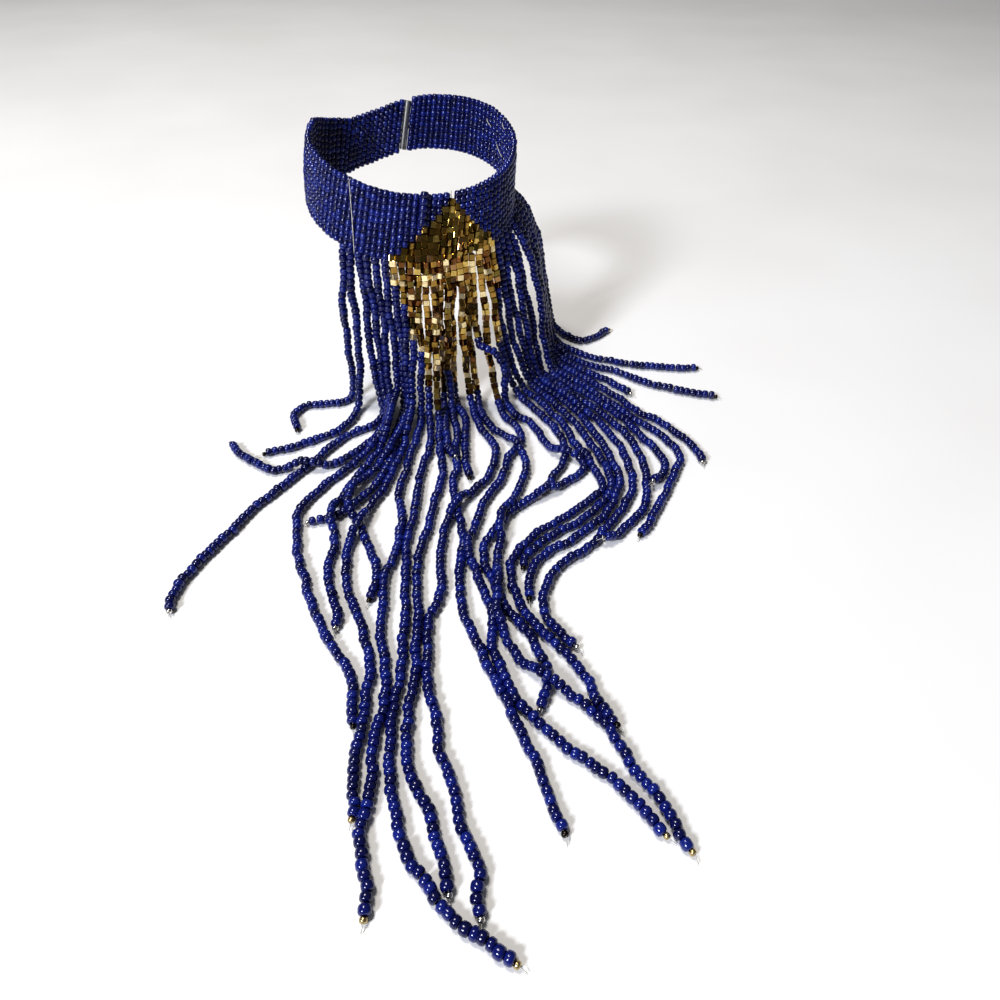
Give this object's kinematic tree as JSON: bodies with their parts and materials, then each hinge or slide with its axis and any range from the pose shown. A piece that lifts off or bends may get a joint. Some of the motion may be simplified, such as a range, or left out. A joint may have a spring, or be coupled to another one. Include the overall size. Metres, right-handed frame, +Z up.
{
  "type": "beaded fringe necklace",
  "caption": "Beaded choker collar with a gold triangle at the front and a long fringe of bead strings from its lower edge.",
  "frame": {"origin": "on the axis of the neck, half way up the band of the collar, 115 mm above the surface that the fringe lies on", "axes": "+Z up along the neck, -Y out through the front of the collar, +X to the right as the front is seen"},
  "size_m": [0.2779, 0.4152, 0.1368],
  "materials": {
    "blue_beads": "gloss",
    "gold_beads": "gloss",
    "clasp_metal": "satin"
  },
  "bodies": {
    "root": {"collar_band": "blue_beads", "gold_triangle": "gold_beads", "loop_column": "blue_beads", "clasp": "clasp_metal", "gold_run_07": "gold_beads", "gold_run_08": "gold_beads", "gold_run_09": "gold_beads", "gold_run_10": "gold_beads", "gold_run_11": "gold_beads", "gold_run_12": "gold_beads", "gold_run_15": "gold_beads", "gold_run_14": "gold_beads", "gold_run_13": "gold_beads", "gold_run_16": "gold_beads", "gold_run_19": "gold_beads", "gold_run_20": "gold_beads", "gold_run_18": "gold_beads", "gold_run_17": "gold_beads", "gold_run_21": "gold_beads", "string_01": "blue_beads", "string_02": "blue_beads", "string_03": "blue_beads", "string_04": "blue_beads", "string_05": "blue_beads", "string_07": "blue_beads", "string_06": "blue_beads", "string_08": "blue_beads", "string_09": "blue_beads", "string_10": "blue_beads", "string_11": "blue_beads", "string_12": "blue_beads", "string_15": "blue_beads", "string_14": "blue_beads", "string_13": "blue_beads", "string_16": "blue_beads", "string_19": "blue_beads", "string_20": "blue_beads", "string_18": "blue_beads", "string_17": "blue_beads", "string_21": "blue_beads", "string_22": "blue_beads", "string_23": "blue_beads", "string_24": "blue_beads", "string_25": "blue_beads", "string_26": "blue_beads", "string_27": "blue_beads", "string_28": "blue_beads", "string_29": "blue_beads", "string_30": "blue_beads", "string_31": "blue_beads", "string_32": "blue_beads"}
  },
  "joints": []
}
